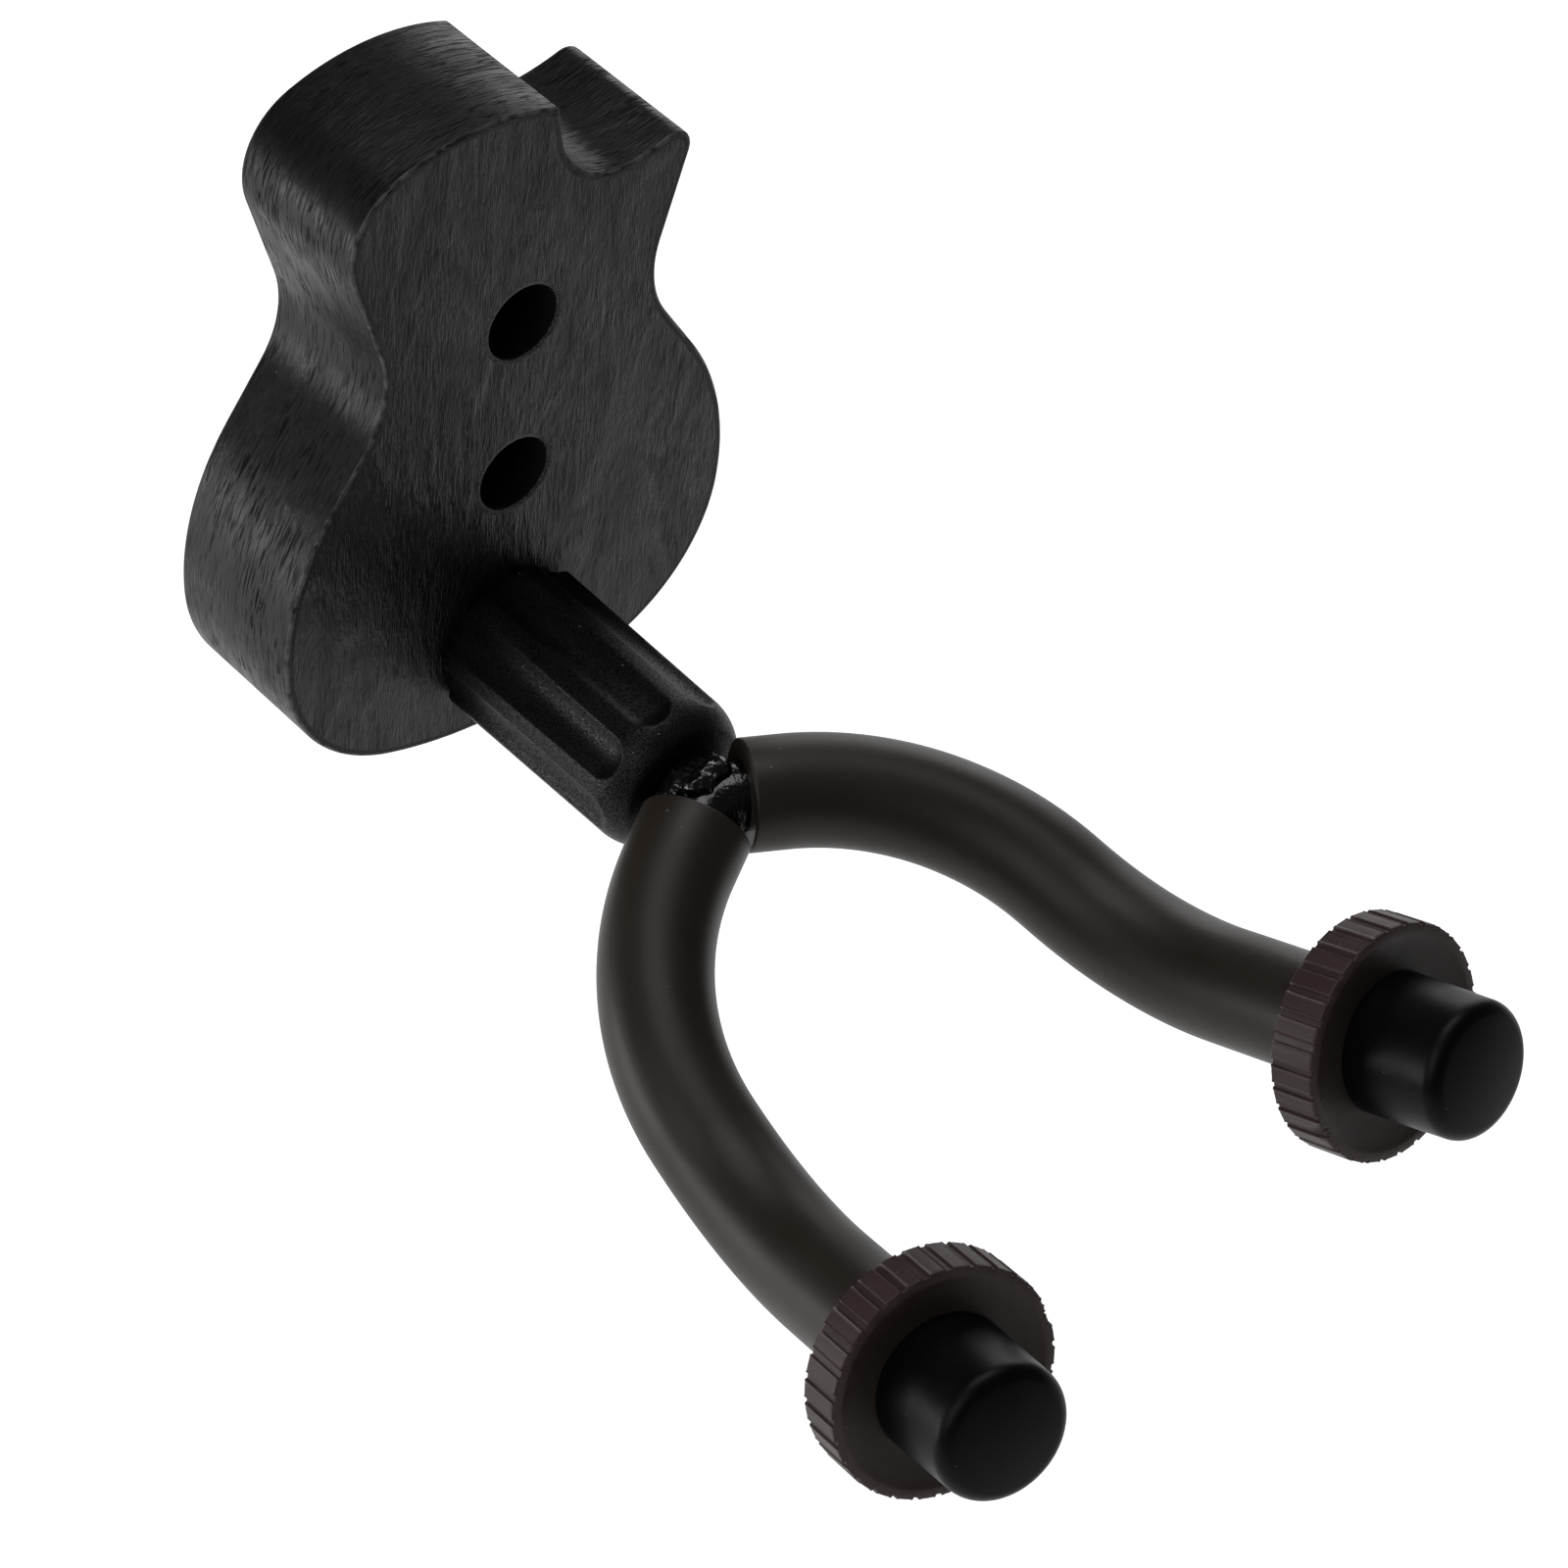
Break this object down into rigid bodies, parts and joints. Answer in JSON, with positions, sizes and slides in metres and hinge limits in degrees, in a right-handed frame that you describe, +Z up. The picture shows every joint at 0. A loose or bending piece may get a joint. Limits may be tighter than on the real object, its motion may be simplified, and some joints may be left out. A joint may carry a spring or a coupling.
{
  "type": "wall guitar hanger",
  "caption": "Wall hanger for a guitar: a guitar-shaped black wooden block, a fluted spacer on a pivot bolt and a turning rubber-covered yoke that cradles the headstock.",
  "frame": {"origin": "on the wall plane (back face of the block), midway between the two screw holes", "axes": "+Y into the wall, so the hanger stands out along -Y; +Z up; +X to the right when facing the wall"},
  "size_m": [0.0914, 0.1487, 0.0977],
  "materials": {
    "stained_wood": "black stain with open vertical grain, satin",
    "spacer_plastic": "fine spark-eroded texture, matte",
    "zinc_steel": "bright zinc plating",
    "black_steel": "gloss black paint over steel and weld",
    "nylon": "satin",
    "tube_rubber": "satin, smooth extruded",
    "disc_rubber": "satin moulded",
    "cap_rubber": "matte moulded"
  },
  "bodies": {
    "wall_mount": {"wood_block": "stained_wood", "fluted_spacer": "spacer_plastic", "rear_washer": "zinc_steel"},
    "yoke": {"pivot_bolt": "black_steel", "lock_nut": "zinc_steel", "nut_insert": "nylon", "yoke_rod": "black_steel", "weld_upper": "black_steel", "weld_lower": "black_steel", "left_tube": "tube_rubber", "right_tube": "tube_rubber", "left_disc": "disc_rubber", "right_disc": "disc_rubber", "left_cap": "cap_rubber", "right_cap": "cap_rubber"}
  },
  "joints": [
    {"name": "yoke_swivel", "type": "hinge", "parent": "wall_mount", "child": "yoke", "pos_m": [0, -0.053, -0.0354], "axis": [0, -1, 0], "continuous": true}
  ]
}
